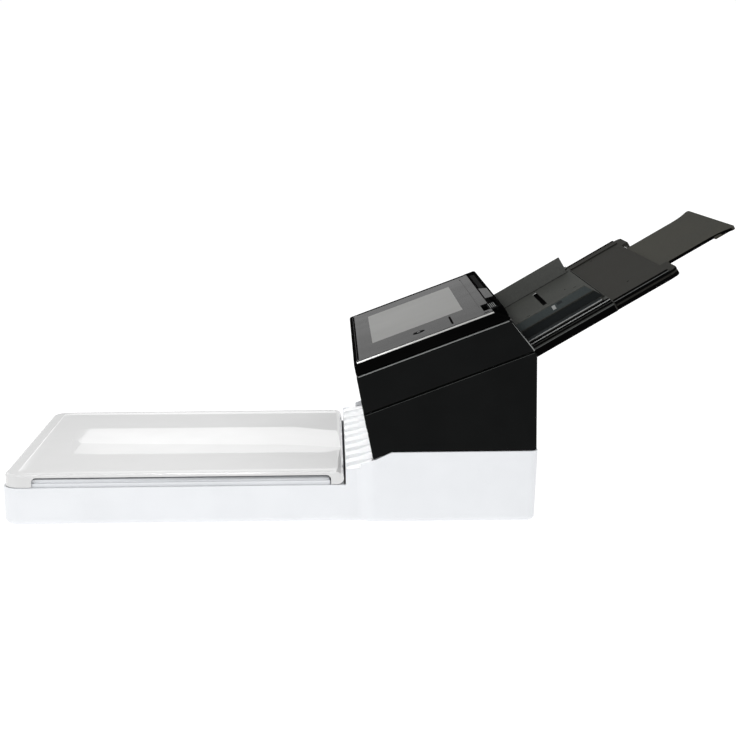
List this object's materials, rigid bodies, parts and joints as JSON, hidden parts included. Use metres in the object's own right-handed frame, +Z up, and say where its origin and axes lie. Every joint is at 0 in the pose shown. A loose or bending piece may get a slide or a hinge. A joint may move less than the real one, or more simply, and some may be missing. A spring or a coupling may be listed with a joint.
{
  "type": "document scanner",
  "caption": "Desktop document scanner: white flatbed with a hinged lid in front, black sheet-feeder head with a sloping touch panel, and a telescopic paper tray rising behind.",
  "frame": {"origin": "on the desk, under the middle of the object's box, with both tray extensions drawn out", "axes": "+X towards the side with the home key and the release lever, +Y towards the back and up the paper tray, -Y towards the flatbed, +Z up"},
  "size_m": [0.312, 0.7518, 0.2977],
  "materials": {
    "white_casing_plastic": "finely textured white moulding, satin",
    "black_casing_plastic": "finely textured black moulding, satin",
    "textured_black_plastic": "matte textured dark grey moulding",
    "glossy_panel": "polished black panel",
    "screen_glass": "glossy grey screen, switched off",
    "clear_glass": "polished float glass",
    "white_foam": "white sheet on thin foam",
    "foot_rubber": "matte grey rubber",
    "roller_rubber": "matte rubber tyres on a shaft",
    "belt_rubber": "toothed black belt",
    "zinc_steel": "zinc-plated steel",
    "sensor_bar": "dark glass-faced sensor bar",
    "inner_black_plastic": "plain black moulding",
    "white_nylon": "natural nylon",
    "circuit_board_green": "green solder mask",
    "socket_nickel": "nickel-plated shell",
    "key_plastic": "smooth black key"
  },
  "bodies": {
    "chassis": {"base_casing": "white_casing_plastic", "foot_front_left": "foot_rubber", "foot_front_right": "foot_rubber", "foot_rear_left": "foot_rubber", "foot_rear_right": "foot_rubber", "platen_frame": "white_casing_plastic", "platen_glass": "clear_glass", "carriage_rod": "zinc_steel", "carriage_belt": "belt_rubber", "belt_motor": "zinc_steel", "exit_ramp": "white_casing_plastic", "lid_hinge_pin_left": "zinc_steel", "lid_hinge_pin_right": "zinc_steel", "circuit_board": "circuit_board_green", "power_inlet": "inner_black_plastic", "usb_socket": "socket_nickel", "network_socket": "socket_nickel", "head_lower_case": "black_casing_plastic", "front_inner_guide": "textured_black_plastic", "lower_paper_guide": "textured_black_plastic", "side_frame_left": "zinc_steel", "side_frame_right": "zinc_steel", "lower_scan_bar": "sensor_bar", "feed_motor": "zinc_steel", "cover_hinge_pin_left": "zinc_steel", "cover_hinge_pin_right": "zinc_steel", "input_tray": "textured_black_plastic"},
    "lid": {"lid_shell": "white_casing_plastic", "lid_liner": "white_casing_plastic", "document_pad": "white_foam"},
    "carriage": {"scan_carriage": "inner_black_plastic", "carriage_sensor": "sensor_bar"},
    "drive_pulley": {"belt_drive_pulley": "inner_black_plastic"},
    "idler_pulley": {"belt_idler_pulley": "inner_black_plastic"},
    "cover": {"cover_shell": "black_casing_plastic", "panel_housing": "black_casing_plastic", "panel_fascia": "glossy_panel", "display_screen": "screen_glass", "upper_paper_guide": "textured_black_plastic", "upper_scan_bar": "sensor_bar"},
    "key": {"home_key": "key_plastic"},
    "lever": {"release_lever": "key_plastic"},
    "separation": {"separation_roller": "roller_rubber"},
    "pinch": {"eject_pinch_roller": "roller_rubber"},
    "pick": {"pick_roller": "roller_rubber", "pick_gear": "white_nylon"},
    "feed": {"feed_roller": "roller_rubber", "feed_gear": "white_nylon"},
    "eject": {"eject_roller": "roller_rubber", "eject_gear": "white_nylon"},
    "small_idler": {"small_idler_gear": "white_nylon"},
    "large_idler": {"large_idler_gear": "white_nylon"},
    "pinion": {"motor_pinion": "white_nylon"},
    "right_guide": {"paper_guide_right": "textured_black_plastic"},
    "left_guide": {"paper_guide_left": "textured_black_plastic"},
    "rack_pinion": {"guide_pinion": "white_nylon"},
    "inner_extension": {"tray_extension_inner": "textured_black_plastic"},
    "outer_extension": {"tray_extension_outer": "textured_black_plastic"},
    "switch": {"power_switch": "key_plastic"}
  },
  "joints": [
    {"name": "lid_hinge", "type": "hinge", "parent": "chassis", "child": "lid", "pos_m": [0, -0.03533, 0.04955], "axis": [-1, 0, 0], "range_deg": [0, 80]},
    {"name": "cover_hinge", "type": "hinge", "parent": "chassis", "child": "cover", "pos_m": [0, -0.00191, 0.1017], "axis": [-1, 0, 0], "range_deg": [-60, 0]},
    {"name": "lever_pivot", "type": "hinge", "parent": "cover", "child": "lever", "pos_m": [0.11775, 0.12696, 0.21954], "axis": [-1, 0, 0], "range_deg": [0, 18], "stiffness_Nm_per_rad": 0.05, "springref_deg": -5.73},
    {"name": "home_key_press", "type": "slide", "parent": "cover", "child": "key", "axis": [0, 0.3453, -0.9385], "range_m": [0, 0.0008], "stiffness_N_per_m": 300, "springref_m": -0.0005},
    {"name": "separation_spin", "type": "hinge", "parent": "cover", "child": "separation", "pos_m": [0, 0.09528, 0.15577], "axis": [1, 0, 0], "continuous": true},
    {"name": "pinch_spin", "type": "hinge", "parent": "cover", "child": "pinch", "pos_m": [0, 0.05262, 0.12768], "axis": [1, 0, 0], "continuous": true},
    {"name": "feed_spin", "type": "hinge", "parent": "chassis", "child": "feed", "pos_m": [0, 0.10498, 0.13897], "axis": [1, 0, 0], "continuous": true},
    {"name": "pick_spin", "type": "hinge", "parent": "chassis", "child": "pick", "pos_m": [0, 0.12317, 0.14947], "axis": [1, 0, 0], "continuous": true},
    {"name": "eject_spin", "type": "hinge", "parent": "chassis", "child": "eject", "pos_m": [0, 0.05982, 0.1152], "axis": [1, 0, 0], "continuous": true},
    {"name": "small_idler_spin", "type": "hinge", "parent": "chassis", "child": "small_idler", "pos_m": [-0.124, 0.12082, 0.13253], "axis": [1, 0, 0], "continuous": true},
    {"name": "large_idler_spin", "type": "hinge", "parent": "chassis", "child": "large_idler", "pos_m": [-0.124, 0.08878, 0.11242], "axis": [1, 0, 0], "continuous": true},
    {"name": "motor_spin", "type": "hinge", "parent": "chassis", "child": "pinion", "pos_m": [-0.124, 0.10283, 0.08809], "axis": [1, 0, 0], "continuous": true},
    {"name": "guide_right_slide", "type": "slide", "parent": "chassis", "child": "right_guide", "axis": [1, 0, 0], "range_m": [-0.08, 0]},
    {"name": "guide_left_slide", "type": "slide", "parent": "chassis", "child": "left_guide", "axis": [1, 0, 0], "range_m": [0, 0.08]},
    {"name": "guide_pinion_turn", "type": "hinge", "parent": "chassis", "child": "rack_pinion", "pos_m": [0, 0.19756, 0.20062], "axis": [0, -0.5, 0.866], "range_deg": [0, 353]},
    {"name": "extension_inner_slide", "type": "slide", "parent": "chassis", "child": "inner_extension", "axis": [0, 0.866, 0.5], "range_m": [-0.068, 0]},
    {"name": "extension_outer_slide", "type": "slide", "parent": "inner_extension", "child": "outer_extension", "axis": [0, 0.866, 0.5], "range_m": [-0.075, 0]},
    {"name": "carriage_slide", "type": "slide", "parent": "chassis", "child": "carriage", "axis": [0, -1, 0], "range_m": [0, 0.272]},
    {"name": "drive_pulley_spin", "type": "hinge", "parent": "chassis", "child": "drive_pulley", "pos_m": [0.06, -0.03938, 0.0115], "axis": [0, 0, 1], "range_deg": [-2600, 0]},
    {"name": "idler_pulley_spin", "type": "hinge", "parent": "chassis", "child": "idler_pulley", "pos_m": [0.06, -0.36088, 0.0115], "axis": [0, 0, 1], "range_deg": [-2600, 0]},
    {"name": "power_switch_rock", "type": "hinge", "parent": "chassis", "child": "switch", "pos_m": [0.1, 0.16111, 0.04], "axis": [-1, 0, 0], "range_deg": [0, 14]}
  ],
  "couplings": [
    {"joint": "pick_spin", "follows": "feed_spin", "ratio": 1},
    {"joint": "eject_spin", "follows": "feed_spin", "ratio": 1.2857},
    {"joint": "small_idler_spin", "follows": "feed_spin", "ratio": -1.125},
    {"joint": "large_idler_spin", "follows": "feed_spin", "ratio": -0.40909},
    {"joint": "motor_spin", "follows": "feed_spin", "ratio": 1.5},
    {"joint": "separation_spin", "follows": "feed_spin", "ratio": -1.1111},
    {"joint": "pinch_spin", "follows": "feed_spin", "ratio": -1.7143},
    {"joint": "guide_left_slide", "follows": "guide_right_slide", "ratio": -1},
    {"joint": "guide_pinion_turn", "follows": "guide_right_slide", "rad_per_m": -76.923},
    {"joint": "drive_pulley_spin", "follows": "carriage_slide", "rad_per_m": -166.67},
    {"joint": "idler_pulley_spin", "follows": "carriage_slide", "rad_per_m": -166.67}
  ]
}
